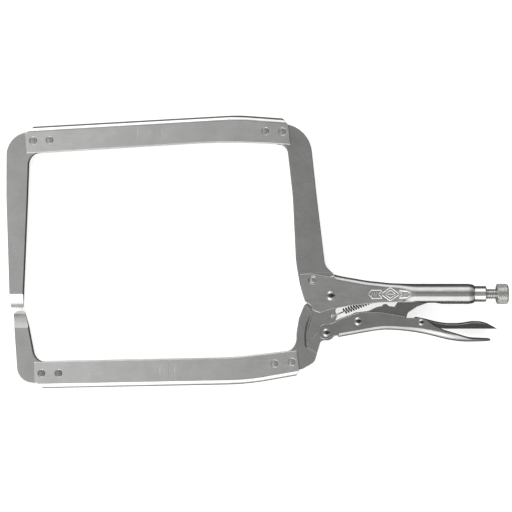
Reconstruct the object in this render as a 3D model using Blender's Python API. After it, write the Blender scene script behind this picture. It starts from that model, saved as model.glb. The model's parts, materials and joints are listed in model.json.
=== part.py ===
"""Locking C-clamp pliers, 18 inch class, built as separate pieces.

All drawing sizes are millimetres in the plane of the tool.  The drawing origin is
the main pivot; +X runs from the jaw tips towards the adjusting knob and +Y from the
moving jaw towards the fixed jaw.  The tool lies flat, so +Z is across its thickness.
The last step moves everything so that the origin is the bottom centre of the tool.
"""
import bpy
import bmesh
from math import atan2, cos, degrees, hypot, pi, radians, sin, tan
from mathutils import Matrix, Vector

MM = 0.001                      # one drawing unit in metres

# ---------------------------------------------------------------- overall sizes
REACH = 292.2                   # main pivot to the outer side of the front arms
JAW_HEIGHT = 164.2              # main pivot up to the top of the fixed beam
JAW_DROP = 83.5                 # main pivot down to the bottom of the moving beam
HANDLE_LENGTH = 131.0           # main pivot to the end of the handle tube
GAP = 0.3                       # clearance between neighbouring pieces

# ---------------------------------------------------------------- stock and widths
ARM_THICKNESS = 10.0            # forged arms
ARM_TONGUE = 8.6                # arms where they enter the handle and the lever
BEAM_SHEET = 2.6
BEAM_BEND = 5.2
HANDLE_SHEET = 2.6
HANDLE_BEND = 5.2
LEVER_SHEET = 2.4
LEVER_BEND = 4.4
LINK_THICKNESS = 7.0
TUBE_RADIUS = 9.2
SCREW_RADIUS = 4.65
KNOB_RADIUS = 9.2
KNOB_LENGTH = 10.6
KNOB_START = 151.2
SLEEVE_RADIUS = 7.15
SLEEVE_END = 141.9
BEAM_RIVET_RADIUS = 2.9
RIVET_SINK = 0.45               # beam rivets end this far below the beam side

# ---------------------------------------------------------------- pivots
MAIN_PIVOT = (0.0, 0.0)
FRONT_RIVET = (-16.6, 14.1)     # holds the fixed arm in the handle
LEVER_PIVOT = (-4.0, -33.6)
LINK_PIVOT = (24.8, -23.3)
RELEASE_PIVOT = (82.4, -24.2)
LINK_NOSE = (87.2, -0.9)        # centre of the rounded nose that meets the screw
SCREW_AXIS_Y = 1.5
SCREW_TIP = 96.6
SPRING_HOLE = (1.9, -18.7)      # in the moving jaw
SPRING_ANCHOR = (52.0, 1.3)     # in the ear under the handle's back
MAIN_SHANK = 3.3
MAIN_HEAD = 4.2
PIVOT_SHANK = 2.7
PIVOT_HEAD = 3.6

BEAM_HALF = ARM_THICKNESS / 2 + GAP + BEAM_SHEET
HANDLE_HALF = ARM_TONGUE / 2 + GAP + HANDLE_SHEET
LEVER_HALF = ARM_TONGUE / 2 + GAP + LEVER_SHEET
FRONT = -REACH                  # outer side of the upper front arm
TOP = JAW_HEIGHT
BOTTOM = -JAW_DROP

STEEL = {
    "forged": ((0.47, 0.47, 0.45), 0.38),
    "beam": ((0.56, 0.56, 0.54), 0.34),
    "handle": ((0.44, 0.44, 0.42), 0.36),
    "lever": ((0.42, 0.42, 0.40), 0.36),
    "rivet": ((0.58, 0.58, 0.57), 0.22),
    "screw": ((0.30, 0.30, 0.29), 0.40),
    "spring": ((0.36, 0.36, 0.35), 0.30),
}


# ================================================================ drawing helpers
def rounded(corners, step=12.0):
    """Outline from (x, y, radius) corners, with an arc at every rounded corner."""
    outline = []
    count = len(corners)
    for index, (x, y, radius) in enumerate(corners):
        if radius <= 0.0:
            outline.append((x, y))
            continue
        before = Vector(corners[index - 1][:2]) - Vector((x, y))
        after = Vector(corners[(index + 1) % count][:2]) - Vector((x, y))
        before.normalize()
        after.normalize()
        opening = before.angle(after)
        reach = radius / tan(opening / 2)
        start = Vector((x, y)) + before * reach
        middle = (before + after).normalized() * (radius / sin(opening / 2))
        centre = Vector((x, y)) + middle
        finish = Vector((x, y)) + after * reach
        first = atan2(start.y - centre.y, start.x - centre.x)
        last = atan2(finish.y - centre.y, finish.x - centre.x)
        sweep = (last - first + pi) % (2 * pi) - pi
        pieces = max(1, round(abs(degrees(sweep)) / step))
        for number in range(pieces + 1):
            angle = first + sweep * number / pieces
            outline.append((centre.x + radius * cos(angle), centre.y + radius * sin(angle)))
    return outline


def kinked(x, knee, left_slope, right_slope, half):
    """Height of a line that bends softly at the knee."""
    along = x - knee[0]
    if along <= -half:
        return knee[1] + left_slope * along
    if along >= half:
        return knee[1] + right_slope * along
    change = right_slope - left_slope
    return knee[1] + left_slope * along + change * (along + half) ** 2 / (4 * half)


def new_object(name, mesh_data, colour):
    """Wrap a bmesh in a named object with its own material."""
    mesh = bpy.data.meshes.new(name)
    bmesh.ops.recalc_face_normals(mesh_data, faces=mesh_data.faces)
    mesh_data.to_mesh(mesh)
    mesh_data.free()
    piece = bpy.data.objects.new(name, mesh)
    bpy.context.scene.collection.objects.link(piece)
    if colour:
        tint, roughness = STEEL[colour]
        material = bpy.data.materials.new(name + "_steel")
        material.use_nodes = True
        shader = material.node_tree.nodes["Principled BSDF"]
        shader.inputs["Base Color"].default_value = (*tint, 1.0)
        shader.inputs["Metallic"].default_value = 1.0
        shader.inputs["Roughness"].default_value = roughness
        mesh.materials.append(material)
    return piece


def prism(name, outline, low, high, colour=None):
    """Flat plate with the given outline between two heights."""
    shape = bmesh.new()
    lower = [shape.verts.new((x * MM, y * MM, low * MM)) for x, y in outline]
    upper = [shape.verts.new((x * MM, y * MM, high * MM)) for x, y in outline]
    shape.faces.new(lower)
    shape.faces.new(upper)
    for index in range(len(outline)):
        after = (index + 1) % len(outline)
        shape.faces.new((lower[index], lower[after], upper[after], upper[index]))
    return new_object(name, shape, colour)


def turned(name, profile, centre, axis, colour=None, sides=28):
    """Solid of revolution: profile is (along, radius) points, closed on the axis."""
    shape = bmesh.new()
    turn = Vector((0, 0, 1)).rotation_difference(Vector(axis)).to_matrix()
    rings = []
    for along, radius in profile:
        if radius <= 0.0:
            rings.append([shape.verts.new((Vector(centre) + turn @ Vector((0, 0, along))) * MM)])
            continue
        ring = []
        for side in range(sides):
            angle = 2 * pi * side / sides
            spot = Vector((radius * cos(angle), radius * sin(angle), along))
            ring.append(shape.verts.new((Vector(centre) + turn @ spot) * MM))
        rings.append(ring)
    closed = profile[0][1] > 0.0
    pairs = list(zip(rings, rings[1:] + rings[:1])) if closed else list(zip(rings, rings[1:]))
    for first, second in pairs:
        for side in range(sides):
            after = (side + 1) % sides
            if len(first) == 1:
                shape.faces.new((first[0], second[side], second[after]))
            elif len(second) == 1:
                shape.faces.new((first[side], first[after], second[0]))
            else:
                shape.faces.new((first[side], first[after], second[after], second[side]))
    return new_object(name, shape, colour)


def folded_sheet(name, stations, colour):
    """Sheet lofted through stations; each is (outer points, inner points)."""
    shape = bmesh.new()
    rows = []
    for outer, inner in stations:
        rows.append(([shape.verts.new(Vector(p) * MM) for p in outer],
                     [shape.verts.new(Vector(p) * MM) for p in inner]))
    last = len(rows[0][0]) - 1
    for (outer, inner), (next_outer, next_inner) in zip(rows, rows[1:]):
        for index in range(last):
            shape.faces.new((outer[index], outer[index + 1],
                             next_outer[index + 1], next_outer[index]))
            shape.faces.new((inner[index], next_inner[index],
                             next_inner[index + 1], inner[index + 1]))
        for edge in (0, last):
            shape.faces.new((outer[edge], next_outer[edge], next_inner[edge], inner[edge]))
    for outer, inner in (rows[0], rows[-1]):
        for index in range(last):
            shape.faces.new((outer[index], outer[index + 1], inner[index + 1], inner[index]))
    return new_object(name, shape, colour)


def channel_path(half, edge, web, bend, wall_points=3, bend_points=4):
    """U-shaped path (y, z) from one sheet edge over the web to the other edge."""
    side = 1.0 if web > edge else -1.0
    start = web - side * bend
    path = []
    for index in range(wall_points):
        path.append((edge + (start - edge) * index / wall_points, half))
    for index in range(bend_points + 1):
        angle = pi / 2 * index / bend_points
        path.append((start + side * bend * sin(angle), half - bend + bend * cos(angle)))
    path.append((web, 0.0))
    return path + [(y, -z) for y, z in reversed(path[:-1])]


def channel_station(x, half, edge, web, bend, sheet, wall_points=3, bend_points=4):
    """Outer and inner points of a channel section at one x."""
    side = 1.0 if web > edge else -1.0
    outer = channel_path(half, edge, web, bend, wall_points, bend_points)
    inner = channel_path(half - sheet, edge, web - side * sheet, bend - sheet,
                         wall_points, bend_points)
    return [(x, y, z) for y, z in outer], [(x, y, z) for y, z in inner]


def combine(piece, other, operation):
    """Boolean with another object, then keep only the resulting mesh."""
    step = piece.modifiers.new(operation.lower(), "BOOLEAN")
    step.operation = operation
    step.solver = "EXACT"
    step.object = other
    other.hide_render = True
    other.display_type = "WIRE"
    bpy.context.view_layer.update()
    ready = piece.evaluated_get(bpy.context.evaluated_depsgraph_get())
    mesh = bpy.data.meshes.new_from_object(ready)
    piece.modifiers.clear()
    piece.data = mesh
    bpy.data.objects.remove(other)


def drill(piece, spot, radius, sides=28):
    """Round hole straight through the thickness of the tool."""
    cutter = turned("drill", [(-20, 0), (-20, radius), (20, radius), (20, 0)],
                    (spot[0], spot[1], 0), (0, 0, 1), sides=sides)
    combine(piece, cutter, "DIFFERENCE")


def soften(piece, width, angle=48.0, segments=1):
    """Break the sharp edges of a plate or sheet."""
    shape = bmesh.new()
    shape.from_mesh(piece.data)
    bmesh.ops.remove_doubles(shape, verts=shape.verts, dist=0.00001)
    sharp = [edge for edge in shape.edges if len(edge.link_faces) == 2 and edge.is_convex
             and edge.calc_face_angle(0.0) > radians(angle)]
    bmesh.ops.bevel(shape, geom=sharp, offset=width * MM, offset_type="OFFSET",
                    segments=segments, profile=0.5, affect="EDGES", clamp_overlap=True)
    shape.to_mesh(piece.data)
    shape.free()


def finish_shading(piece):
    """Smooth shading with real edges kept sharp."""
    for face in piece.data.polygons:
        face.use_smooth = True
    piece.data.set_sharp_from_angle(angle=radians(38))


def rivet(name, spot, shank, length, head=0.0, head_height=0.0, under=0.0, colour="rivet"):
    """Rivet along Z: a plain flush pin, or a pin with a domed head at each end."""
    if head <= 0.0:
        rim = 0.35
        half = [(length / 2, 0.0), (length / 2, shank - rim), (length / 2 - rim, shank)]
    else:
        half = []
        for number in range(5):
            angle = pi / 2 * number / 4
            half.append((under + head_height * cos(angle), head * sin(angle)))
        half += [(under, shank)]
    profile = half + [(-along, radius) for along, radius in reversed(half)]
    return turned(name, profile, (spot[0], spot[1], 0), (0, 0, 1), colour, sides=24)


# ================================================================ fixed side
def upper_line(x):
    """Top (web side) of the upper beam."""
    return kinked(x, (-84.0, TOP), 0.0561, -0.072, 10.0)


def upper_edge(x):
    """Open edge of the upper beam."""
    return kinked(x, (-88.0, TOP - 23.2), 0.0622, -0.075, 42.0)


def lower_line(x):
    """Bottom (web side) of the lower beam."""
    return kinked(x, (-76.0, BOTTOM + 2.9), 0.0195, 0.175, 18.0)


def lower_edge(x):
    """Open edge of the lower beam."""
    return kinked(x, (-89.0, BOTTOM + 26.9), 0.02, 0.118, 15.0)


def beam(name, web_line, edge_line, trim):
    """Channel beam: lofted sheet, trimmed to its slanted and chamfered ends."""
    stops = [FRONT - 4.0, FRONT + 100.0, -130.0, -116.0, -104.0, -94.0, -84.0, -74.0,
             -66.0, -58.0, -46.0, -16.0]
    stations = [channel_station(x, BEAM_HALF, edge_line(x), web_line(x), BEAM_BEND,
                                BEAM_SHEET, wall_points=1) for x in stops]
    piece = folded_sheet(name, stations, "beam")
    combine(piece, prism("trim", trim, -30, 30), "INTERSECT")
    return piece


def beam_rivets(prefix, spots, pieces):
    """Flush rivets that join a beam to the arms inside it."""
    made = []
    for number, spot in enumerate(spots, 1):
        for piece in pieces:
            drill(piece, spot, BEAM_RIVET_RADIUS + GAP)
        made.append(rivet(f"{prefix}_{number}", spot, BEAM_RIVET_RADIUS,
                          2 * (BEAM_HALF - RIVET_SINK)))
    return made


def tip_profile(piece, level, way):
    """Taper an arm's end: full thickness at level, thinning to a round nose."""
    half = ARM_THICKNESS / 2
    side = [(level + way * 300.0, half + 4), (level, half + 0.01)]
    side += [(level - way * 9.0, half - 2.4), (level - way * 12.4, half - 3.3)]
    side += [(level - way * 15.3, half - 4.2), (level - way * 20.0, half - 4.2)]
    shape = bmesh.new()
    loop = side + [(y, -z) for y, z in reversed(side)]
    ends = []
    for x in (FRONT - 30.0, FRONT + 60.0):
        ends.append([shape.verts.new((x * MM, y * MM, z * MM)) for y, z in loop])
    shape.faces.new(ends[0])
    shape.faces.new(ends[1])
    for index in range(len(loop)):
        after = (index + 1) % len(loop)
        shape.faces.new((ends[0][index], ends[0][after], ends[1][after], ends[1][index]))
    combine(piece, new_object("tip", shape, None), "INTERSECT")


def make_upper_side():
    """Fixed beam with its front and rear arms and four rivets."""
    inside = BEAM_SHEET + 1.6
    left = FRONT - 2.7
    top_a, top_b = upper_line(left + 30) - inside, upper_line(FRONT + 44) - inside
    low_b = upper_edge(FRONT + 44) + 3.0
    front = prism("upper_front_arm", rounded([
        (left + 0.2, top_a - 1.9, 21.5), (FRONT + 48, top_b + 0.2, 0), (FRONT + 46, low_b, 3),
        (FRONT + 17.6, upper_edge(FRONT + 18) - 0.9, 11.0), (FRONT + 16.2, TOP - 77, 80),
        (FRONT + 12.7, 4.0, 0), (FRONT + 12.2, -13.5, 5.0), (FRONT + 1.2, -13.5, 5.0),
        (FRONT, 3.0, 0), (left, TOP - 74, 60)]),
        -ARM_THICKNESS / 2, ARM_THICKNESS / 2, "forged")
    tip_profile(front, 1.5, 1)
    soften(front, 0.8)

    top_c, top_d = upper_line(-64) - inside, upper_line(-40) - inside
    rear = prism("upper_rear_arm", rounded([
        (-86.0, upper_line(-86) - inside - 0.6, 0), (-84.0, upper_line(-84) - inside - 0.6, 0),
        (-19.6, upper_line(-19.6) - inside - 0.6, 28), (-12.6, TOP - 74, 90),
        (-5.0, 27.0, 12), (3.0, 19.6, 0), (2.6, 17.8, 0.8), (-0.6, 17.2, 2), (-6.0, 12.2, 3),
        (-13.0, 3.6, 3), (-21.5, -1.0, 3), (-27.4, 8.0, 14), (-31.3, 30.0, 60),
        (-34.2, TOP - 74, 80), (-39.4, upper_edge(-40) - 0.9, 9.0), (-70.0, upper_edge(-70) + 3, 0),
        (-84.0, upper_edge(-84) + 3, 3)]),
        -ARM_THICKNESS / 2, ARM_THICKNESS / 2, "forged")
    for side in (-1, 1):
        level = side * (ARM_TONGUE / 2 + 5.0)
        waste = prism("waste", [(-60, -20), (40, -20), (40, 20.9), (-60, 20.9)],
                      min(level - 5.0, level + 5.0), max(level - 5.0, level + 5.0))
        combine(rear, waste, "DIFFERENCE")
    soften(rear, 0.6)

    body = beam("upper_beam", upper_line, upper_edge, [
        (FRONT + 16.6, TOP - 44), (-34.8, TOP - 44), (-38.2, TOP - 9.7), (-50.5, TOP + 6),
        (FRONT + 43.0, TOP + 6), (FRONT + 14.1, TOP - 17.2)])
    rivets = beam_rivets("upper_front_rivet", [(FRONT + 22.0, TOP - 23.4), (FRONT + 36.9, TOP - 22.8)],
                         (front, body))
    rivets += beam_rivets("upper_rear_rivet", [(-59.3, TOP - 14.7), (-44.1, TOP - 15.2)],
                          (rear, body))
    drill(rear, FRONT_RIVET, 3.3 + GAP)
    return [front, rear, body] + rivets


# ================================================================ moving side
def make_lower_side():
    """Moving beam with its front arm, the jaw that turns on the main pivot, rivets."""
    inside = BEAM_SHEET + 1.6
    floor_a = lower_line(FRONT + 40) + inside
    front = prism("lower_front_arm", rounded([
        (FRONT + 3.6, -16.5, 2.0), (FRONT + 6.8, -13.9, 3.0), (FRONT + 13.6, -13.9, 3.5),
        (FRONT + 17.3, -28.5, 12), (FRONT + 23.4, lower_edge(FRONT + 25) - 0.1, 12.0),
        (FRONT + 52.0, lower_edge(FRONT + 52) - 3.0, 3), (FRONT + 52.0, lower_line(FRONT + 52) + inside, 0),
        (FRONT + 8.0, lower_line(FRONT + 8) + inside + 0.4, 15.0), (FRONT + 4.6, -30.0, 0)]),
        -ARM_THICKNESS / 2, ARM_THICKNESS / 2, "forged")
    tip_profile(front, -29.3, -1)
    soften(front, 0.8)

    jaw = prism("lower_rear_arm", rounded([
        (-80.0, lower_edge(-80) - 3.0, 3), (-48.0, lower_edge(-48) - 2.0, 0),
        (-31.0, lower_edge(-31) + 0.6, 13.0), (-30.8, -34.0, 20), (-28.5, -20.5, 14),
        (-23.8, -9.0, 2), (-11.5, -0.5, 6), (-10.6, 9.4, 9.6), (10.0, 10.0, 9.6), (10.4, -10.0, 9.0), (2.4, -11.5, 3.5),
        (6.3, -18.0, 3.0), (3.2, -26.0, 4), (5.6, -33.0, 6), (0.5, -40.9, 7.2), (-8.8, -40.6, 4),
        (-14.6, -60.5, 8), (-25.5, -66.8, 5), (-36.5, lower_line(-37) + inside + 0.3, 0),
        (-80.0, lower_line(-80) + inside + 0.3, 0)]),
        -ARM_THICKNESS / 2, ARM_THICKNESS / 2, "forged")
    pocket = rounded([
        (-16.0, -13.8, 0), (-19.0, -20.5, 0), (-21.2, -27.9, 0), (-22.3, -36.0, 6),
        (-22.0, -46.0, 3), (-8.0, -54.0, 0), (30.0, -54.0, 0), (30.0, 30.0, 0),
        (-30.0, 30.0, 0), (-30.0, -4.0, 0)])
    deep = [(-14.0, -12.5), (-17.4, -20.8), (-19.6, -28.2), (-20.9, -43.0), (-11.4, -33.4),
            (-8.0, -25.0), (30.0, -22.0), (30.0, 30.0), (-30.0, 30.0), (-30.0, -4.0)]
    for side in (-1, 1):
        for shape, half in ((pocket, ARM_TONGUE / 2), (deep, ARM_TONGUE / 2 - 0.5)):
            low, high = sorted((side * half, side * (half + 10.0)))
            combine(jaw, prism("waste", shape, low, high), "DIFFERENCE")
    drill(jaw, MAIN_PIVOT, MAIN_SHANK + GAP)
    drill(jaw, LEVER_PIVOT, PIVOT_SHANK + GAP)
    drill(jaw, SPRING_HOLE, 1.35, sides=16)
    soften(jaw, 0.5)

    body = beam("lower_beam", lower_line, lower_edge, [
        (FRONT + 22.2, BOTTOM + 40), (FRONT + 22.8, BOTTOM + 6.4), (FRONT + 36.9, BOTTOM - 6.6),
        (-38.6, BOTTOM - 6.6), (-28.3, BOTTOM + 16.7), (-31.6, BOTTOM + 40)])
    rivets = beam_rivets("lower_front_rivet",
                         [(FRONT + 29.5, BOTTOM + 13.1), (FRONT + 45.0, BOTTOM + 13.1)], (front, body))
    rivets += beam_rivets("lower_rear_rivet", [(-51.0, BOTTOM + 21.8), (-35.4, BOTTOM + 23.4)],
                          (jaw, body))
    return [front, jaw, body] + rivets


# ================================================================ handle and screw
def tube_path(radius, centre, slot, wall_points, bend_points):
    """Open round path (y, z) with the same number of points as channel_path."""
    gap = slot / 2 / radius
    path = []
    for index in range(wall_points):
        path.append(pi - gap - (pi - gap - radians(62)) * index / wall_points)
    for index in range(bend_points + 1):
        path.append(radians(62) - radians(50) * index / bend_points)
    path.append(0.0)
    half = [(centre + radius * cos(angle), radius * sin(angle)) for angle in path]
    return half + [(y, -z) for y, z in reversed(half[:-1])]


def mixed(first, second, share):
    """Points part of the way between two paths."""
    return [((1 - share) * a[0] + share * b[0], (1 - share) * a[1] + share * b[1])
            for a, b in zip(first, second)]


def handle_top(x):
    """Back of the handle before it becomes a tube."""
    knots = [(-40.0, 31.0), (-3.0, 24.6), (1.5, 20.4), (5.1, 18.8), (13.3, 17.0), (24.3, 15.1),
             (35.2, 13.3), (44.0, 12.4), (57.0, SCREW_AXIS_Y + TUBE_RADIUS + 0.5),
             (90.0, SCREW_AXIS_Y + TUBE_RADIUS)]
    for (x0, y0), (x1, y1) in zip(knots, knots[1:]):
        if x <= x1:
            return y0 + (y1 - y0) * (x - x0) / (x1 - x0)
    return knots[-1][1]


def make_handle():
    """Formed handle: two walls at the front, a channel, then a rolled tube."""
    walls, bends = 6, 5
    stations = []
    channel_stops = [-36.0, -3.0, 1.5, 5.1, 9.0, 13.3, 24.3, 35.2, 44.0, 50.5, 57.0]
    for x in channel_stops:
        stations.append(channel_station(x, HANDLE_HALF, -24.0, handle_top(x), HANDLE_BEND,
                                        HANDLE_SHEET, walls, bends))
    end = HANDLE_LENGTH
    slot = LINK_THICKNESS + 1.4
    round_stops = [(62.0, 0.14, slot + 0.6), (65.0, 0.31, slot + 0.5), (68.0, 0.52, slot + 0.3),
                   (71.0, 0.72, slot + 0.2), (74.5, 0.9, slot), (78.0, 1.0, slot),
                   (95.5, 1.0, slot), (99.0, 1.0, 5.0), (102.0, 1.0, 0.7),
                   (end - 7.3, 1.0, 0.7)]
    bottom = SCREW_AXIS_Y - TUBE_RADIUS + 1.1
    for x, share, slot in round_stops:
        plain = channel_path(HANDLE_HALF, bottom - 16.0 * (1 - share), handle_top(x),
                             HANDLE_BEND, walls, bends)
        thin = channel_path(HANDLE_HALF - HANDLE_SHEET, bottom - 16.0 * (1 - share),
                            handle_top(x) - HANDLE_SHEET, HANDLE_BEND - HANDLE_SHEET, walls, bends)
        outer = mixed(plain, tube_path(TUBE_RADIUS, SCREW_AXIS_Y, slot, walls, bends), share)
        inner = mixed(thin, tube_path(TUBE_RADIUS - HANDLE_SHEET, SCREW_AXIS_Y, slot,
                                      walls, bends), share)
        stations.append(([(x, y, z) for y, z in outer], [(x, y, z) for y, z in inner]))
    for number in range(1, 6):
        angle = pi / 2 * number / 5
        x = end - 7.3 + 7.3 * sin(angle)
        radius = TUBE_RADIUS - 1.75 * (1 - cos(angle))
        outer = tube_path(radius, SCREW_AXIS_Y, 0.7, walls, bends)
        inner = tube_path(TUBE_RADIUS - HANDLE_SHEET, SCREW_AXIS_Y, 0.7, walls, bends)
        stations.append(([(x, y, z) for y, z in outer], [(x, y, z) for y, z in inner]))
    handle = folded_sheet("handle_body", stations, "handle")

    outline = rounded([
        (-28.6, 19.4, 1.5), (-18.2, 20.3, 12), (-3.4, 17.6, 0), (3.2, 16.5, 1.2), (4.0, 32.0, 0),
        (150.0, 32.0, 0), (150.0, -30.0, 0), (79.0, -30.0, 0), (76.4, -6.45, 0), (61.2, -5.9, 0),
        (46.0, -6.1, 30), (19.5, -8.9, 30), (7.8, -11.0, 20), (-2.0, -13.2, 10), (-9.5, -15.6, 5),
        (-16.6, -13.6, 5), (-17.6, -9.0, 2.5), (-23.0, -5.6, 4), (-26.4, 4.8, 20)])
    combine(handle, prism("trim", outline, -30, 30), "INTERSECT")

    ear_x, ear_y = SPRING_ANCHOR
    ear = prism("ear", [(ear_x - 0.9, ear_y - 2.6), (ear_x + 0.9, ear_y - 2.6),
                        (ear_x + 0.9, handle_top(ear_x) - 1.0), (ear_x - 0.9, handle_top(ear_x) - 1.0)],
                -2.4, 2.4)
    combine(handle, ear, "UNION")
    eye = turned("eye", [(-6, 0), (-6, 1.35), (6, 1.35), (6, 0)], (ear_x, ear_y, 0), (1, 0, 0),
                 sides=16)
    combine(handle, eye, "DIFFERENCE")
    drill(handle, MAIN_PIVOT, MAIN_SHANK + GAP)
    drill(handle, FRONT_RIVET, 3.3 + GAP)
    return handle


def make_screw_parts():
    """Threaded sleeve in the tube's mouth, the screw through it and its knob."""
    bore = SCREW_RADIUS + GAP
    inner = TUBE_RADIUS - HANDLE_SHEET - GAP
    collar = HANDLE_LENGTH + GAP
    centre = (0, SCREW_AXIS_Y, 0)
    sleeve = turned("screw_sleeve", [
        (104.0, bore), (104.0, inner - 0.5), (104.5, inner), (collar, inner),
        (collar, SLEEVE_RADIUS), (SLEEVE_END - 0.8, SLEEVE_RADIUS),
        (SLEEVE_END, SLEEVE_RADIUS - 0.8), (SLEEVE_END, bore)], centre, (1, 0, 0), "screw")
    screw = turned("adjusting_screw", [
        (SCREW_TIP, 0.0), (SCREW_TIP, SCREW_RADIUS - 1.6), (SCREW_TIP + 1.6, SCREW_RADIUS),
        (KNOB_START + 7.4, SCREW_RADIUS), (KNOB_START + 7.4, 0.0)], centre, (1, 0, 0), "screw")
    start, end = KNOB_START, KNOB_START + KNOB_LENGTH
    hole = SCREW_RADIUS + GAP
    knob = turned("screw_knob", [
        (start + 7.4 + GAP, 0.0), (start + 7.4 + GAP, hole), (start, hole),
        (start, KNOB_RADIUS - 1.1), (start + 1.1, KNOB_RADIUS), (end - 1.1, KNOB_RADIUS),
        (end, KNOB_RADIUS - 1.1), (end, 0.0)], centre, (1, 0, 0), "screw", sides=36)
    return [sleeve, screw, knob]


def make_spring():
    """Extension spring between the moving jaw and the ear in the handle."""
    start = Vector((*SPRING_HOLE, 0.0))
    end = Vector((*SPRING_ANCHOR, 0.0))
    along = (end - start).normalized()
    across = Vector((0, 0, 1)).cross(along)
    total = (end - start).length
    coil_from, coil_to = 11.0, total - 9.0
    radius, wire, turns, per_turn = 2.4, 0.55, 14, 12
    face = ARM_TONGUE / 2 - 0.5 + GAP + wire
    hook = [(0.0, -2.0), (0.0, 2.4), (0.25, face - 0.7), (1.1, face), (5.4, face),
            (7.6, face - 0.6), (9.4, radius + 0.3)]
    line = [start + along * travel + Vector((0, 0, height)) for travel, height in hook]
    for step in range(turns * per_turn + 1):
        angle = 2 * pi * step / per_turn
        travel = coil_from + (coil_to - coil_from) * step / (turns * per_turn)
        line.append(start + along * travel
                    + radius * (cos(angle) * Vector((0, 0, 1)) + sin(angle) * across))
    tail = [(-7.2, 0.0, 1.5), (-5.0, 0.0, 0.3), (-2.5, 0.0, 0.0), (0.6, 0.0, 0.0),
            (2.0, -0.2, 0.0), (2.9, -1.1, 0.0), (3.1, -2.6, 0.0)]
    line += [end + along * travel + across * lift + Vector((0, 0, height))
             for travel, lift, height in tail]
    shape = bmesh.new()
    rings = []
    normal = across.copy()
    for index, spot in enumerate(line):
        ahead = line[min(index + 1, len(line) - 1)] - line[max(index - 1, 0)]
        ahead.normalize()
        normal = (normal - ahead * normal.dot(ahead)).normalized()
        side = ahead.cross(normal)
        ring = []
        for number in range(6):
            angle = 2 * pi * number / 6
            ring.append(shape.verts.new(
                (spot + wire * (cos(angle) * normal + sin(angle) * side)) * MM))
        rings.append(ring)
    for first, second in zip(rings, rings[1:]):
        for number in range(6):
            after = (number + 1) % 6
            shape.faces.new((first[number], first[after], second[after], second[number]))
    shape.faces.new(rings[0])
    shape.faces.new(rings[-1])
    return new_object("jaw_spring", shape, "spring")


# ================================================================ lever, link, release
def lever_bottom(x):
    """Outer (web) side of the lever."""
    knots = [(-20.0, -62.0), (6.2, -52.0), (7.5, -37.7), (24.3, -34.7), (40.7, -31.9), (50.0, -31.0),
             (58.0, -31.2), (73.5, -32.8), (84.5, -34.6), (95.4, -37.2), (106.3, -39.9),
             (114.0, -41.2), (124.0, -42.0), (134.0, -41.9), (146.0, -41.2), (160.0, -40.1)]
    for (x0, y0), (x1, y1) in zip(knots, knots[1:]):
        if x <= x1:
            return y0 + (y1 - y0) * (x - x0) / (x1 - x0)
    return knots[-1][1]


def make_lever():
    """Channel lever: ears over the moving jaw, open towards the handle, flat tail."""
    stops = [-20.0, 6.2, 7.5, 24.3, 32.5, 40.7, 46.0, 50.0, 54.0, 58.0, 66.0, 73.5, 79.0,
             84.5, 90.0, 95.4, 101.0, 106.3, 114.0, 124.0, 134.0, 146.0, 152.0]
    stations = [channel_station(x, LEVER_HALF, -8.0, lever_bottom(x), LEVER_BEND,
                                LEVER_SHEET, 1, 5) for x in stops]
    lever = folded_sheet("lever", stations, "lever")
    ear_x, ear_y = LEVER_PIVOT
    outline = rounded([
        (ear_x - 7.4, ear_y + 7.4, 6.2), (0.4, -25.4, 8), (9.5, -20.8, 20), (26.5, -15.0, 20),
        (46.0, -15.1, 20), (67.5, -18.9, 2.0), (69.0, -20.5, 1.5), (84.4, -20.7, 6),
        (94.6, -27.2, 12), (103.4, -31.5, 20), (127.0, -38.5, 30), (145.6, -39.2, 1.0),
        (145.6, -52.0, 0), (7.4, -52.0, 0), (7.4, -36.2, 1.2), (2.3, -36.8, 3),
        (ear_x + 1.0, ear_y - 5.9, 3.0), (ear_x - 7.0, ear_y - 5.9, 5.6)])
    combine(lever, prism("trim", outline, -30, 30), "INTERSECT")
    drill(lever, LEVER_PIVOT, PIVOT_SHANK + GAP)
    drill(lever, LINK_PIVOT, PIVOT_SHANK + GAP)
    drill(lever, RELEASE_PIVOT, 2.1 + GAP)
    return lever


def make_link():
    """Toggle link from the lever to the end of the adjusting screw."""
    x0, y0 = LINK_PIVOT
    nx, ny = LINK_NOSE
    link = prism("toggle_link", rounded([
        (x0 - 7.2, y0 + 7.2, 7.0), (x0 + 9.5, -14.2, 6), (42.2, -10.6, 6), (47.2, -9.6, 1.5),
        (48.6, -7.9, 0.6), (51.4, -7.9, 0.6), (53.0, -9.6, 1.0), (58.6, -10.4, 1.5),
        (62.5, -4.6, 4), (74.0, 2.6, 8), (nx + 2.0, ny + 4.8, 4.0), (nx + 4.8, ny - 0.2, 3.5),
        (nx + 2.0, ny - 5.4, 3.5), (78.6, -10.2, 5), (70.4, -15.6, 3), (68.4, -22.2, 1.5),
        (58.0, -24.4, 6), (x0 + 8.0, y0 - 6.2, 6), (x0 - 7.2, y0 - 7.2, 7.0)]),
        -LINK_THICKNESS / 2, LINK_THICKNESS / 2, "forged")
    drill(link, LINK_PIVOT, PIVOT_SHANK + GAP)
    soften(link, 0.5)
    return link


def release_top(x):
    """Back (web side) of the release lever."""
    knots = [(60.0, -16.6), (84.4, -20.6), (89.6, -21.9), (95.1, -23.3), (100.7, -24.4),
             (107.3, -25.1), (114.5, -25.1), (121.8, -24.4), (129.6, -23.3), (135.2, -23.4),
             (141.0, -24.6), (147.5, -27.8), (156.0, -32.5)]
    for (x0, y0), (x1, y1) in zip(knots, knots[1:]):
        if x <= x1:
            return y0 + (y1 - y0) * (x - x0) / (x1 - x0)
    return knots[-1][1]


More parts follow.
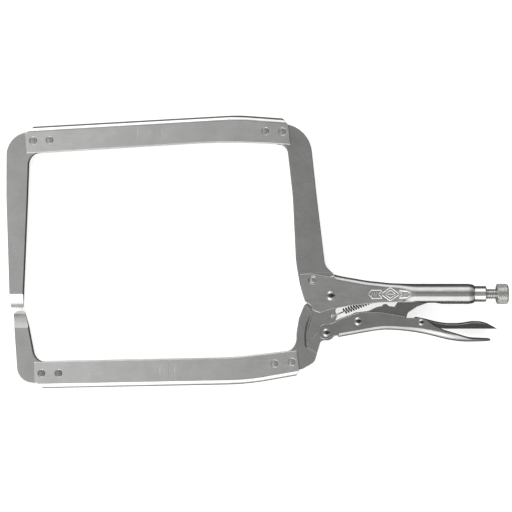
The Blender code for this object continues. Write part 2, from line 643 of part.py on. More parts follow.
def make_release_lever():
    """Short channel inside the lever; its nose lifts the link to unlock."""
    half = ARM_TONGUE / 2
    stops = [66.0, 84.4, 89.6, 95.1, 100.7, 107.3, 114.5, 121.8, 126.0, 129.6, 135.2, 141.0,
             147.5, 152.0]
    stations = [channel_station(x, half, -44.0, release_top(x), 2.8, 1.8, 1, 4) for x in stops]
    piece = folded_sheet("release_lever", stations, "lever")
    outline = rounded([
        (74.2, -26.4, 1.2), (75.6, -20.6, 2.4), (80.0, -18.4, 0), (80.0, -10.0, 0), (160.0, -10.0, 0),
        (160.0, -30.2, 0), (147.2, -30.2, 0), (104.5, -30.2, 14), (90.0, -28.4, 8), (82.0, -30.6, 4),
        (75.0, -27.6, 1.2)])
    combine(piece, prism("trim", outline, -30, 30), "INTERSECT")
    drill(piece, RELEASE_PIVOT, 2.1 + GAP)
    return piece


# ================================================================ assembly
def seat(piece, spot):
    """Put the object's origin on its joint or its own middle, keeping it in place."""
    place = Vector(spot) * MM
    piece.data.transform(Matrix.Translation(-place))
    piece.location = place


def build():
    for old in list(bpy.data.objects):
        bpy.data.objects.remove(old)
    pieces = make_upper_side()
    moving = make_lower_side()
    handle = make_handle()
    sleeve, screw, knob = make_screw_parts()
    lever = make_lever()
    link = make_link()
    release = make_release_lever()
    spring = make_spring()
    main = rivet("main_pivot_rivet", MAIN_PIVOT, MAIN_SHANK, 0, MAIN_HEAD, 1.75,
                 HANDLE_HALF + GAP)
    front = rivet("handle_front_rivet", FRONT_RIVET, 3.3, 2 * HANDLE_HALF - 0.3)
    on_lever = [
        rivet("lever_pivot_rivet", LEVER_PIVOT, PIVOT_SHANK, 0, PIVOT_HEAD, 0.9, LEVER_HALF + GAP),
        rivet("link_pivot_rivet", LINK_PIVOT, PIVOT_SHANK, 0, PIVOT_HEAD, 0.9, LEVER_HALF + GAP),
        rivet("release_pivot_rivet", RELEASE_PIVOT, 2.1, 0, 2.8, 0.8, LEVER_HALF + GAP)]
    origins = [(piece, MAIN_PIVOT) for piece in pieces + moving + [handle, sleeve, main, front, spring]]
    origins += [(lever, LEVER_PIVOT), (link, LINK_PIVOT), (release, RELEASE_PIVOT)]
    origins += [(piece, LEVER_PIVOT) for piece in on_lever]
    for piece, spot in origins:
        seat(piece, (*spot, 0.0))
    for piece in (screw, knob):
        seat(piece, (KNOB_START, SCREW_AXIS_Y, 0.0))
    everything = [piece for piece, spot in origins] + [screw, knob]
    for piece in everything:
        finish_shading(piece)
    bpy.context.view_layer.update()

    corners = [piece.matrix_world @ vertex.co for piece in everything
               for vertex in piece.data.vertices]
    low = Vector([min(corner[axis] for corner in corners) for axis in range(3)])
    high = Vector([max(corner[axis] for corner in corners) for axis in range(3)])
    shift = Vector(((low.x + high.x) / 2, (low.y + high.y) / 2, low.z))
    for piece in everything:
        piece.location -= shift


build()
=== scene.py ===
"""Long-throat locking C-clamp pliers: finished pieces, satin steels, floor, light and camera."""
import bpy
import bmesh
import json
from math import atan2, cos, degrees, pi, radians, sin, tan
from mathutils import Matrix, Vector


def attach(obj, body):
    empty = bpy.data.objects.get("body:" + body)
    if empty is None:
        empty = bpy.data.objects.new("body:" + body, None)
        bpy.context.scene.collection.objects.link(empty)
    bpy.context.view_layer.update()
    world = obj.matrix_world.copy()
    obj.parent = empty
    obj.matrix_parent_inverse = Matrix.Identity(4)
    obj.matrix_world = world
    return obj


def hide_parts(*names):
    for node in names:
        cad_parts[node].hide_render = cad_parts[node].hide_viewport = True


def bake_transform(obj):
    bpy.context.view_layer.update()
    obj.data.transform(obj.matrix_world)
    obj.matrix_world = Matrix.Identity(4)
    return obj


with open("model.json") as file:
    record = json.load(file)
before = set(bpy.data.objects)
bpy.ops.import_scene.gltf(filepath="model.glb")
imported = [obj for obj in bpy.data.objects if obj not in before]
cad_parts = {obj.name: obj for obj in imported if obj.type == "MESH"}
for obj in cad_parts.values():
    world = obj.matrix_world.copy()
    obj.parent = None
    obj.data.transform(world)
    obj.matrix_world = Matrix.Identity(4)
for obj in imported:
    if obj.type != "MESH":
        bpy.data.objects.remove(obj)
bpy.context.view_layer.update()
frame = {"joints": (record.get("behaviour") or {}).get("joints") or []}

MM = 0.001
joints = {joint["name"]: joint for joint in frame["joints"]}
MAIN = Vector(joints["jaw_hinge"]["pos_m"])

# Sizes in millimetres, measured from the main pivot: x towards the knob, y towards the fixed jaw.
FRONT, TOP, BOTTOM = -292.2, 164.2, -83.5
SCREW_Y, TUBE = 1.5, 9.2
LEVER_PIVOT, LINK_PIVOT, RELEASE_PIVOT = (-4.0, -33.6), (24.8, -23.3), (82.4, -24.2)
FRONT_RIVET = (-16.6, 14.1)
RIVET_HOLE, PIVOT_HOLE, LEVER_HOLE, RELEASE_HOLE = 3.2, 3.6, 3.0, 2.4
UPPER_RIVETS = {"upper_front_rivet_1": (FRONT + 22.0, TOP - 23.4),
                "upper_front_rivet_2": (FRONT + 36.9, TOP - 22.8),
                "upper_rear_rivet_1": (-59.3, TOP - 14.7),
                "upper_rear_rivet_2": (-44.1, TOP - 15.2)}
LOWER_RIVETS = {"lower_front_rivet_1": (FRONT + 29.5, BOTTOM + 13.1),
                "lower_front_rivet_2": (FRONT + 45.0, BOTTOM + 13.1),
                "lower_rear_rivet_1": (-51.0, BOTTOM + 21.8),
                "lower_rear_rivet_2": (-35.4, BOTTOM + 23.4)}
SPRING_START, SPRING_END, SPRING_HOLE = (1.9, -18.7), (52.0, 1.3), 1.35
SEAM = 0.000002  # metres: corners closer than this are one corner


def at(x, y, z=0.0):
    """A place on the tool, in metres."""
    return MAIN + Vector((x, y, z)) * MM


# ---------------------------------------------------------------- bench tools
def only(*pieces):
    """Leave just these pieces selected, the first of them active."""
    if bpy.context.object and bpy.context.object.mode != "OBJECT":
        bpy.ops.object.mode_set(mode="OBJECT")
    bpy.ops.object.select_all(action="DESELECT")
    for piece in pieces:
        piece.select_set(True)
    bpy.context.view_layer.objects.active = pieces[0] if pieces else None


def named(name):
    """The piece just added, under its own name."""
    piece = bpy.context.object
    piece.name = piece.data.name = name
    return piece


def edit_all(piece):
    """Edit mode with the whole of one piece selected."""
    only(piece)
    bpy.ops.object.mode_set(mode="EDIT")
    bpy.ops.mesh.select_mode(type="VERT")
    bpy.ops.mesh.select_all(action="SELECT")


def close_up(piece):
    """Merge a piece's seams and poles, cap what is open and turn its faces outwards."""
    edit_all(piece)
    bpy.ops.mesh.remove_doubles(threshold=SEAM)
    bpy.ops.mesh.delete_loose(use_verts=True, use_edges=True, use_faces=False)
    bpy.ops.mesh.select_all(action="SELECT")
    bpy.ops.mesh.fill_holes(sides=0)
    bpy.ops.mesh.select_all(action="SELECT")
    bpy.ops.mesh.normals_make_consistent(inside=False)
    bpy.ops.object.mode_set(mode="OBJECT")
    return piece


def plate(name, outline, low, high):
    """A plate: a filled ring with a corner on each outline point, extruded through its thickness."""
    only()
    bpy.ops.mesh.primitive_circle_add(vertices=len(outline), radius=0.01, fill_type="NGON")
    piece = named(name)
    for corner, (x, y) in zip(piece.data.vertices, outline):
        corner.co = at(x, y, low)
    edit_all(piece)
    bpy.ops.mesh.extrude_region_move(
        TRANSFORM_OT_translate={"value": (0, 0, (high - low) * MM)})
    return close_up(piece)


def drafted(name, outline, low, high, spread):
    """A plate whose side leans outwards by the spread on its way from low to high."""
    block = plate(name, outline, low, high)
    count = len(outline)
    for index, (x, y) in enumerate(outline):
        ahead, behind = Vector(outline[(index + 1) % count]), Vector(outline[index - 1])
        along = (ahead - behind).normalized()
        turn = 1.0 if sum(outline[i - 1][0] * outline[i][1] - outline[i][0] * outline[i - 1][1]
                          for i in range(count)) > 0 else -1.0
        upper = at(x, y, high)
        for corner in block.data.vertices:
            if (corner.co - upper).length < 0.000001:
                corner.co += Vector((along.y, -along.x, 0.0)) * turn * spread * MM
    return block


def wrapped(name, rows, columns, place):
    """A grid bent over a form: place(row, column) says where each of its corners lies."""
    only()
    bpy.ops.mesh.primitive_grid_add(x_subdivisions=columns, y_subdivisions=rows, size=0.01)
    piece = named(name)
    for number, corner in enumerate(piece.data.vertices):
        corner.co = place(*divmod(number, columns + 1))
    return close_up(piece)


def formed(name, sections):
    """Folded sheet: a grid carried from section to section, each a closed ring of places."""
    around = len(sections[0])
    return wrapped(name, len(sections) - 1, around,
                   lambda row, column: at(*sections[row][column % around]))


def turned(name, profile, centre, along="x", steps=72):
    """A lathe part: the closed half section (travel, radius), spun about its axis."""
    only()
    bpy.ops.mesh.primitive_circle_add(vertices=len(profile), radius=0.01, fill_type="NOTHING")
    piece = named(name)
    x, y, z = centre
    for corner, (travel, radius) in zip(piece.data.vertices, profile):
        corner.co = at(x + travel, y + radius, z) if along == "x" else at(x + radius, y, z + travel)
    edit_all(piece)
    bpy.ops.mesh.spin(steps=steps, angle=2 * pi, center=at(*centre),
                      axis=(1, 0, 0) if along == "x" else (0, 0, 1))
    return close_up(piece)


def cut(piece, tool, how="DIFFERENCE"):
    """Cut, trim or join with another solid, which is used up."""
    only(piece)
    step = piece.modifiers.new(how.lower(), "BOOLEAN")
    step.operation, step.solver, step.object = how, "EXACT", tool
    bpy.ops.object.modifier_apply(modifier=step.name)
    bpy.data.objects.remove(tool)
    return piece


def joined(pieces):
    """Several loose solids as one object."""
    only(*pieces)
    bpy.ops.object.join()
    return pieces[0]


def holes(piece, spots):
    """Round holes through the tool, all drilled in one cut: (x, y, radius)."""
    drills = [turned("drill", [(-20, 0), (-20, radius), (20, radius), (20, 0)], (x, y, 0), "z", 48)
              for x, y, radius in spots]
    return cut(piece, joined(drills))


def rivet_holes(rivets, which):
    """The rivet holes at one end of a beam."""
    return [(*spot, RIVET_HOLE) for node, spot in rivets.items() if which in node]


def break_edges(piece, width, steps=3, sharper=38.0, keep=lambda spot: True, gap=0.00004):
    """Round the outer sharp edges."""
    edit_all(piece)
    bpy.ops.mesh.remove_doubles(threshold=gap)
    bpy.ops.mesh.dissolve_limited(angle_limit=radians(0.08))
    bpy.ops.mesh.select_mode(type="EDGE")
    bpy.ops.mesh.select_all(action="DESELECT")
    shape = bmesh.from_edit_mesh(piece.data)
    for edge in shape.edges:
        if len(edge.link_faces) == 2 and edge.is_convex:
            middle = (edge.verts[0].co + edge.verts[1].co) / 2 - MAIN
            if edge.calc_face_angle(0.0) > radians(sharper) and keep(middle / MM):
                edge.select = True
    bmesh.update_edit_mesh(piece.data)
    bpy.ops.mesh.bevel(offset=width * MM, offset_type="OFFSET", segments=steps, profile=0.5,
                       affect="EDGES", clamp_overlap=False)
    bpy.ops.mesh.select_all(action="SELECT")
    bpy.ops.mesh.remove_doubles(threshold=SEAM)
    bpy.ops.object.mode_set(mode="OBJECT")
    return piece


def on_line(outline):
    """Tells whether a spot lies on this outline."""
    ends = [Vector(point) for point in outline]

    def found(spot):
        here = Vector((spot.x, spot.y))
        for start, finish in zip(ends, ends[1:] + ends[:1]):
            side = finish - start
            share = min(max((here - start).dot(side) / max(side.length_squared, 0.000001), 0.0), 1.0)
            if (start + side * share - here).length < 0.02:
                return True
        return False
    return found


def finished(piece, body, finish, nodes=(), angle=36.0):
    """Smooth shading with true flats, a finish, and its place in the tool."""
    only(piece)
    bpy.ops.object.shade_smooth_by_angle(angle=radians(angle))
    flats = piece.modifiers.new("true_flats", "WEIGHTED_NORMAL")
    flats.keep_sharp, flats.weight = True, 60
    bpy.ops.object.modifier_apply(modifier=flats.name)
    piece.data.materials.clear()
    piece.data.materials.append(finish)
    if nodes:
        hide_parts(*nodes)
    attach(piece, body)
    return piece


# ---------------------------------------------------------------- drawing lines
def rounded(corners, step=5.0):
    """Outline from (x, y, radius) corners, with an arc at each rounded one."""
    outline = []
    for index, (x, y, radius) in enumerate(corners):
        corner = Vector((x, y))
        if radius <= 0.0:
            outline.append((x, y))
            continue
        before = (Vector(corners[index - 1][:2]) - corner).normalized()
        after = (Vector(corners[(index + 1) % len(corners)][:2]) - corner).normalized()
        opening = before.angle(after)
        centre = corner + (before + after).normalized() * (radius / sin(opening / 2))
        start = corner + before * (radius / tan(opening / 2)) - centre
        finish = corner + after * (radius / tan(opening / 2)) - centre
        first = atan2(start.y, start.x)
        sweep = (atan2(finish.y, finish.x) - first + pi) % (2 * pi) - pi
        parts = max(1, round(abs(degrees(sweep)) / step))
        for number in range(parts + 1):
            angle = first + sweep * number / parts
            outline.append((centre.x + radius * cos(angle), centre.y + radius * sin(angle)))
    return outline


def kinked(x, knee, left_slope, right_slope, half):
    """Height of a line that bends softly at its knee."""
    along = x - knee[0]
    if along <= -half:
        return knee[1] + left_slope * along
    if along >= half:
        return knee[1] + right_slope * along
    return knee[1] + left_slope * along + (right_slope - left_slope) * (along + half) ** 2 / (4 * half)


def flowing(x, knots):
    """Height of a smooth line through the knots, with no overshoot."""
    spans = [(b[1] - a[1]) / (b[0] - a[0]) for a, b in zip(knots, knots[1:])]
    slopes = [spans[0]] + [0.0 if p * q <= 0 else 2 * p * q / (p + q)
                           for p, q in zip(spans, spans[1:])] + [spans[-1]]
    for index, (a, b) in enumerate(zip(knots, knots[1:])):
        if x <= b[0] or index == len(knots) - 2:
            width = b[0] - a[0]
            t = min(max((x - a[0]) / width, 0.0), 1.0)
            return ((2 * t ** 3 - 3 * t ** 2 + 1) * a[1]
                    + (t ** 3 - 2 * t ** 2 + t) * width * slopes[index]
                    + (3 * t ** 2 - 2 * t ** 3) * b[1] + (t ** 3 - t ** 2) * width * slopes[index + 1])


def stops(*runs):
    """Stations along x: (from, to, how many) runs that share their ends."""
    places = [runs[0][0]]
    for start, finish, count in runs:
        places += [start + (finish - start) * number / count for number in range(1, count + 1)]
    return places


def upper_line(x):
    return kinked(x, (-84.0, TOP), 0.0561, -0.072, 10.0)


def upper_edge(x):
    return kinked(x, (-88.0, TOP - 23.2), 0.0622, -0.075, 42.0)


def lower_line(x):
    return kinked(x, (-76.0, BOTTOM + 2.9), 0.0195, 0.175, 18.0)


def lower_edge(x):
    return kinked(x, (-89.0, BOTTOM + 26.9), 0.02, 0.118, 15.0)


def channel(half, edge, web, bend, walls=4, bends=9):
    """Half-open U (y, z) from one edge of the sheet over its web to the other edge."""
    side = 1.0 if web > edge else -1.0
    start = web - side * bend
    path = [(edge + (start - edge) * number / walls, half) for number in range(walls)]
    for number in range(bends + 1):
        angle = pi / 2 * number / bends
        path.append((start + side * bend * sin(angle), half - bend + bend * cos(angle)))
    path.append((web, 0.0))
    return path + [(y, -z) for y, z in reversed(path[:-1])]


def channel_ring(x, half, edge, web, bend, sheet, walls=4, bends=9):
    """Closed section of a folded channel: outer face, then back along the inner one."""
    side = 1.0 if web > edge else -1.0
    outer = channel(half, edge, web, bend, walls, bends)
    inner = channel(half - sheet, edge, web - side * sheet, bend - sheet, walls, bends)
    return [(x, y, z) for y, z in outer] + [(x, y, z) for y, z in reversed(inner)]


# ---------------------------------------------------------------- steels
def steel(name, tint, roughness, lines, mottle, relief, wear=0.35, painted_hollow_shade=0.0):
    """Satin nickel over steel: cloudy plating, fine polishing lines, edges rubbed bright, and painted
    shade darkening the hollows where asked.
    """
    finish = bpy.data.materials.new(name)
    finish.use_nodes = True
    tree = finish.node_tree
    shader = tree.nodes["Principled BSDF"]
    add, link = tree.nodes.new, tree.links.new

    def remap(source, low, high, first, last):
        step = add("ShaderNodeMapRange")
        for socket, value in (("From Min", low), ("From Max", high),
                              ("To Min", first), ("To Max", last)):
            step.inputs[socket].default_value = value
        link(source, step.inputs["Value"])
        return step.outputs["Result"]

    shader.inputs["Metallic"].default_value = 1.0
    place = add("ShaderNodeTexCoord")

    cloud = add("ShaderNodeTexNoise")
    cloud.inputs["Scale"].default_value = 55.0
    cloud.inputs["Detail"].default_value = 5.0
    cloud.inputs["Roughness"].default_value = 0.62
    link(place.outputs["Object"], cloud.inputs["Vector"])

    stretch = add("ShaderNodeMapping")
    stretch.inputs["Scale"].default_value = lines
    link(place.outputs["Object"], stretch.inputs["Vector"])
    polish = add("ShaderNodeTexNoise")
    polish.inputs["Scale"].default_value = 900.0
    polish.inputs["Detail"].default_value = 4.0
    link(stretch.outputs["Vector"], polish.inputs["Vector"])

    pits = add("ShaderNodeTexVoronoi")
    pits.inputs["Scale"].default_value = 620.0
    pits.inputs["Randomness"].default_value = 1.0
    link(place.outputs["Object"], pits.inputs["Vector"])
    pit_depth = remap(pits.outputs["Distance"], 0.0, 0.16, 0.0, 1.0)

    tone = remap(cloud.outputs["Fac"], 0.3, 0.7, 1.0 - mottle, 1.0 + mottle)
    plate_tone = add("ShaderNodeVectorMath")
    plate_tone.operation = "SCALE"
    plate_tone.inputs[0].default_value = tint
    link(tone, plate_tone.inputs["Scale"])

    soft = add("ShaderNodeBevel")
    soft.samples = 4
    soft.inputs["Radius"].default_value = 0.0007
    true_face = add("ShaderNodeNewGeometry")
    rubbed = add("ShaderNodeVectorMath")
    rubbed.operation = "DOT_PRODUCT"
    link(soft.outputs["Normal"], rubbed.inputs[0])
    link(true_face.outputs["Normal"], rubbed.inputs[1])
    edge = remap(rubbed.outputs["Value"], 0.995, 0.90, 0.0, wear)
    bright = add("ShaderNodeMix")
    bright.data_type = "RGBA"
    link(edge, bright.inputs["Factor"])
    link(plate_tone.outputs["Vector"], bright.inputs["A"])
    bright.inputs["B"].default_value = (0.80, 0.79, 0.76, 1.0)
    colour = bright.outputs["Result"]
    # Painted shade: hollows found by ambient occlusion are darkened towards near-black, standing in for
    # the shade in threads, knurling and coils.
    if painted_hollow_shade:
        shade = add("ShaderNodeAmbientOcclusion")
        shade.samples = 6
        shade.inputs["Distance"].default_value = 0.0012
        hollow_shade_mask = remap(shade.outputs["AO"], 0.35, 0.85, painted_hollow_shade, 0.0)
        hollow_shaded = add("ShaderNodeMix")
        hollow_shaded.data_type = "RGBA"
        link(hollow_shade_mask, hollow_shaded.inputs["Factor"])
        link(colour, hollow_shaded.inputs["A"])
        hollow_shaded.inputs["B"].default_value = (0.045, 0.042, 0.036, 1.0)
        colour = hollow_shaded.outputs["Result"]
    link(colour, shader.inputs["Base Color"])

    link(remap(polish.outputs["Fac"], 0.3, 0.7, roughness - 0.04, roughness + 0.05),
         shader.inputs["Roughness"])

    grain = add("ShaderNodeBump")
    grain.inputs["Strength"].default_value = relief
    grain.inputs["Distance"].default_value = 0.00003
    link(polish.outputs["Fac"], grain.inputs["Height"])
    pitted = add("ShaderNodeBump")
    pitted.inputs["Strength"].default_value = relief * 0.6
    pitted.inputs["Distance"].default_value = 0.00003
    link(pit_depth, pitted.inputs["Height"])
    link(grain.outputs["Normal"], pitted.inputs["Normal"])
    link(pitted.outputs["Normal"], shader.inputs["Normal"])
    return finish


ALONG, EVEN = (0.12, 1.0, 1.0), (1.0, 1.0, 1.0)
ARM_STEEL = steel("forged_arm_satin", (0.47, 0.468, 0.458), 0.24, (1.0, 0.35, 1.0), 0.07, 0.20)
# Painted shade: the rear arm and moving jaw use a darker copy of the forged arm steel, for light
# falling off towards the rear.
REAR_ARM_PAINTED_SHADE = steel("forged_arm_satin_painted_shade", (0.385, 0.383, 0.372), 0.24, (1.0, 0.35, 1.0), 0.08, 0.12)
BEAM_STEEL = steel("beam_sheet_satin", (0.64, 0.638, 0.626), 0.19, ALONG, 0.06, 0.25)
HANDLE_STEEL = steel("handle_sheet_satin", (0.46, 0.461, 0.452), 0.23, ALONG, 0.07, 0.22)
LEVER_STEEL = steel("lever_sheet_satin", (0.36, 0.359, 0.351), 0.20, ALONG, 0.08, 0.25)
# Painted shade: the release lever is the same sheet steel, made much darker for the shade it sits in.
RELEASE_PAINTED_SHADE = steel("release_sheet_painted_shade", (0.13, 0.129, 0.125), 0.17, ALONG, 0.10, 0.25)
# Painted dark reflection for the middles of the domed rivet heads.
DOME_CORE_PAINTED_REFLECTION = steel("rivet_core_painted_reflection", (0.10, 0.10, 0.098), 0.16, EVEN, 0.12, 0.2, wear=0.0)
# Painted shadow: the dark beads laid along the lever tail's edges.
LEVER_EDGE_PAINTED_SHADOW = steel("lever_edge_painted_shadow", (0.09, 0.089, 0.086), 0.42, EVEN, 0.15, 0.5, wear=0.0)
LINK_STEEL = steel("link_plate_satin", (0.23, 0.229, 0.222), 0.26, EVEN, 0.12, 0.4)
RIVET_STEEL = steel("rivet_domed_satin", (0.37, 0.37, 0.365), 0.14, EVEN, 0.06, 0.12, wear=0.15)
FLUSH_STEEL = steel("rivet_flush_satin", (0.44, 0.438, 0.43), 0.26, EVEN, 0.10, 0.3)
WORN_STEEL = steel("rivet_flush_worn", (0.30, 0.298, 0.29), 0.28, EVEN, 0.16, 0.4)
# Painted highlight: the badge beads are a much brighter copy of the handle steel, so that they shine.
BADGE_PAINTED_HIGHLIGHT = steel("badge_bead_painted_highlight", (0.86, 0.858, 0.85), 0.12, EVEN, 0.04, 0.1)
SCREW_STEEL = steel("screw_satin", (0.58, 0.573, 0.553), 0.22, EVEN, 0.12, 0.35, painted_hollow_shade=0.7)
SLEEVE_STEEL = steel("sleeve_bright", (0.60, 0.598, 0.585), 0.16, (1.0, 0.2, 0.2), 0.06, 0.2)
KNOB_STEEL = steel("knob_satin", (0.68, 0.675, 0.655), 0.20, EVEN, 0.10, 0.25, painted_hollow_shade=0.42)
SPRING_STEEL = steel("spring_wire_dark", (0.34, 0.34, 0.33), 0.20, EVEN, 0.08, 0.2, painted_hollow_shade=0.5)


# ---------------------------------------------------------------- forged arms
def taper_tip(arm, level, way):
    """Thin an arm towards its end, in two flats and a small nose."""
    side = [(level + way * 300.0, 9.0), (level, 5.01), (level - way * 8.4, 2.35),
            (level - way * 12.4, 1.7), (level - way * 15.3, 0.8), (level - way * 20.0, 0.8)]
    loop = side + [(y, -z) for y, z in reversed(side)]
    only()
    bpy.ops.mesh.primitive_circle_add(vertices=len(loop), radius=0.01, fill_type="NGON")
    wedge = named("wedge")
    for corner, (y, z) in zip(wedge.data.vertices, loop):
        corner.co = at(FRONT - 30.0, y, z)
    edit_all(wedge)
    bpy.ops.mesh.extrude_region_move(TRANSFORM_OT_translate={"value": (90.0 * MM, 0, 0)})
    return cut(arm, close_up(wedge), "INTERSECT")


def make_upper_arms():
    left = FRONT - 2.7
    front = plate("fixed_front_arm", rounded([
        (left + 0.2, upper_line(left + 30) - 6.1, 21.5), (FRONT + 48, upper_line(FRONT + 44) - 4.0, 0),
        (FRONT + 46, upper_edge(FRONT + 44) + 3, 3), (FRONT + 17.6, upper_edge(FRONT + 18) - 0.9, 11.0),
        (FRONT + 16.2, TOP - 77, 80), (FRONT + 12.7, 4.0, 0), (FRONT + 12.2, -13.5, 5.0),
        (FRONT + 1.2, -13.5, 5.0), (FRONT, 3.0, 0), (left, TOP - 74, 60)]), -5.0, 5.0)
    break_edges(front, 0.8, 7)
    taper_tip(front, 1.5, 1)
    holes(front, rivet_holes(UPPER_RIVETS, "front"))

    rear = plate("fixed_rear_arm", rounded([
        (-86.0, upper_line(-86) - 4.8, 0), (-84.0, upper_line(-84) - 4.8, 0),
        (-19.6, upper_line(-19.6) - 4.8, 28), (-12.6, TOP - 74, 90), (-5.0, 27.0, 12),
        (3.0, 19.6, 0), (2.6, 17.8, 0.8), (-0.6, 17.2, 2), (-6.0, 12.2, 3), (-13.0, 3.6, 3),
        (-21.5, -1.0, 3),
        (-27.4, 8.0, 14), (-31.3, 30.0, 60), (-34.2, TOP - 74, 80),
        (-39.4, upper_edge(-40) - 0.9, 9.0), (-70.0, upper_edge(-70) + 3, 0),
        (-84.0, upper_edge(-84) + 3, 3)]), -5.0, 5.0)
    steps = [plate("step", [(-60, -20), (40, -20), (40, 20.9), (-60, 20.9)], low, high)
             for low, high in ((4.3, 14.3), (-14.3, -4.3))]
    break_edges(rear, 0.6, 7)
    cut(rear, joined(steps))
    holes(rear, rivet_holes(UPPER_RIVETS, "rear") + [(*FRONT_RIVET, PIVOT_HOLE)])
    return front, rear


def make_lower_arms():
    front = plate("moving_front_arm", rounded([
        (FRONT + 3.6, -16.5, 2.0), (FRONT + 6.8, -13.9, 3.0), (FRONT + 13.6, -13.9, 3.5),
        (FRONT + 17.3, -28.5, 12), (FRONT + 23.4, lower_edge(FRONT + 25) - 0.1, 12.0),
        (FRONT + 52.0, lower_edge(FRONT + 52) - 3.0, 3),
        (FRONT + 52.0, lower_line(FRONT + 52) + 4.2, 0),
        (FRONT + 8.0, lower_line(FRONT + 8) + 4.6, 15.0), (FRONT + 4.6, -30.0, 0)]), -5.0, 5.0)
    break_edges(front, 0.8, 7)
    taper_tip(front, -29.3, -1)
    holes(front, rivet_holes(LOWER_RIVETS, "front"))

    profile = rounded([
        (-80.0, lower_edge(-80) - 3.0, 3), (-48.0, lower_edge(-48) - 2.0, 0),
        (-31.0, lower_edge(-31) + 0.6, 13.0), (-30.8, -34.0, 20), (-28.5, -20.5, 14),
        (-23.8, -9.0, 2), (-11.5, -0.5, 6), (-10.6, 9.4, 9.6), (10.0, 10.0, 9.6),
        (10.4, -10.0, 9.0), (2.4, -11.5, 3.5), (6.3, -18.0, 3.0), (3.2, -26.0, 4),
        (5.6, -33.0, 6), (0.5, -40.9, 7.2), (-8.8, -40.6, 4), (-14.6, -60.5, 8),
        (-25.5, -66.8, 5), (-36.5, lower_line(-37) + 4.5, 0), (-80.0, lower_line(-80) + 4.5, 0)])
    jaw = plate("moving_rear_jaw", profile, -5.0, 5.0)
    pocket = rounded([
        (-16.0, -13.8, 0), (-19.0, -20.5, 0), (-21.2, -27.9, 0), (-22.3, -36.0, 6),
        (-22.0, -46.0, 3), (-8.0, -54.0, 0), (30.0, -54.0, 0), (30.0, 30.0, 0),
        (-30.0, 30.0, 0), (-30.0, -4.0, 0)])
    deep = [(-14.0, -12.5), (-17.4, -20.8), (-19.6, -28.2), (-20.9, -43.0), (-11.4, -33.4),
            (-8.0, -25.0), (30.0, -22.0), (30.0, 30.0), (-30.0, 30.0), (-30.0, -4.0)]
    for outline, half, lean in ((pocket, 4.3, 2.4), (deep, 3.8, 1.4)):
        cut(jaw, joined([drafted("pocket", outline, half * way, 5.3 * way, lean)
                         for way in (1, -1)]))
    holes(jaw, [(0, 0, PIVOT_HOLE), (*LEVER_PIVOT, LEVER_HOLE), (*SPRING_START, SPRING_HOLE)]
          + rivet_holes(LOWER_RIVETS, "rear"))
    outer = on_line(profile)
    break_edges(jaw, 0.4, 7, keep=lambda spot: abs(spot.z) > 4.7 and outer(spot), gap=0.00001)
    return front, jaw


# ---------------------------------------------------------------- beams
def make_beam(name, web_line, edge_line, trim, rivets, marks):
    """Folded channel beam, trimmed at a slant, drilled, its cut edges broken, lightly punched."""
    places = stops((FRONT - 4.0, -134.0, 24), (-134.0, -50.0, 28), (-50.0, -16.0, 6))
    beam = formed(name, [channel_ring(x, 7.9, edge_line(x), web_line(x), 5.2, 2.6, 1, 10)
                         for x in places])
    cut(beam, plate("trim", trim, -30, 30), "INTERSECT")
    holes(beam, [(x, y, RIVET_HOLE) for x, y in rivets])
    dots = []
    for x, y in marks:
        for side in (-1, 1):
            only()
            bpy.ops.mesh.primitive_uv_sphere_add(segments=20, ring_count=10, radius=0.0011,
                                                 location=at(x, y, side * 8.72))
            bpy.ops.object.transform_apply(location=True, rotation=False, scale=False)
            dots.append(named("punch"))
    cut(beam, joined(dots))
    break_edges(beam, 0.5, 3, 55.0, gap=0.0001)
    return beam


def dome_rivet(name, spot, shank, under, head, height):
    """Rivet through the tool with a low domed head each side and a small edge to the head."""
    rim = 0.25
    half = [(under + height, 0.0)]
    steepest = 2 * atan2(height - rim, head)
    ball = head / sin(steepest)
    for number in range(1, 13):
        angle = steepest * number / 12
        half.append((under + height - ball * (1 - cos(angle)), ball * sin(angle)))
    half += [(under, head - 0.12), (under, shank)]
    return turned(name, half + [(-z, r) for z, r in reversed(half)], (*spot, 0.0), "z", 48)


def paint_dome_core_reflection(rivet, spot, radius):
    """A painted dark reflection on the middle of a domed head, where it faces straight up."""
    rivet.data.materials.append(DOME_CORE_PAINTED_REFLECTION)
    for face in rivet.data.polygons:
        if (face.center.xy - at(*spot).xy).length < radius * MM and abs(face.normal.z) > 0.5:
            face.material_index = 1


def beam_rivet(name, spot):
    """Rivet set in a beam: a flat, faintly turned end that all but fills its hole."""
    half = [(7.84, 0.0), (7.84, 1.9), (7.80, 2.05), (7.84, 2.2), (7.83, 2.8), (7.74, 3.02), (7.3, 3.1)]
    return turned(name, half + [(-z, r) for z, r in reversed(half)], (*spot, 0.0), "z", 48)


# ---------------------------------------------------------------- handle
HANDLE_BACK = [(-40.0, 31.0), (-3.0, 24.6), (1.5, 20.4), (5.1, 18.8), (13.3, 17.0), (24.3, 15.1),
               (35.2, 13.3), (44.0, 12.4), (57.0, SCREW_Y + TUBE + 0.5), (90.0, SCREW_Y + TUBE)]
ROUNDING = [(57.0, 0.0), (62.0, 0.14), (65.0, 0.31), (68.0, 0.52), (71.0, 0.72), (74.5, 0.9),
            (78.0, 1.0)]


def tube(radius, slot, walls=8, bends=10):
    """Round section (y, z), open by the slot on its underside, with a channel's count of points."""
    gap = slot / 2 / radius
    path = [pi - gap - (pi - gap - radians(62)) * number / walls for number in range(walls)]
    path += [radians(62) - radians(50) * number / bends for number in range(bends + 1)] + [0.0]
    half = [(SCREW_Y + radius * cos(angle), radius * sin(angle)) for angle in path]
    return half + [(y, -z) for y, z in reversed(half[:-1])]


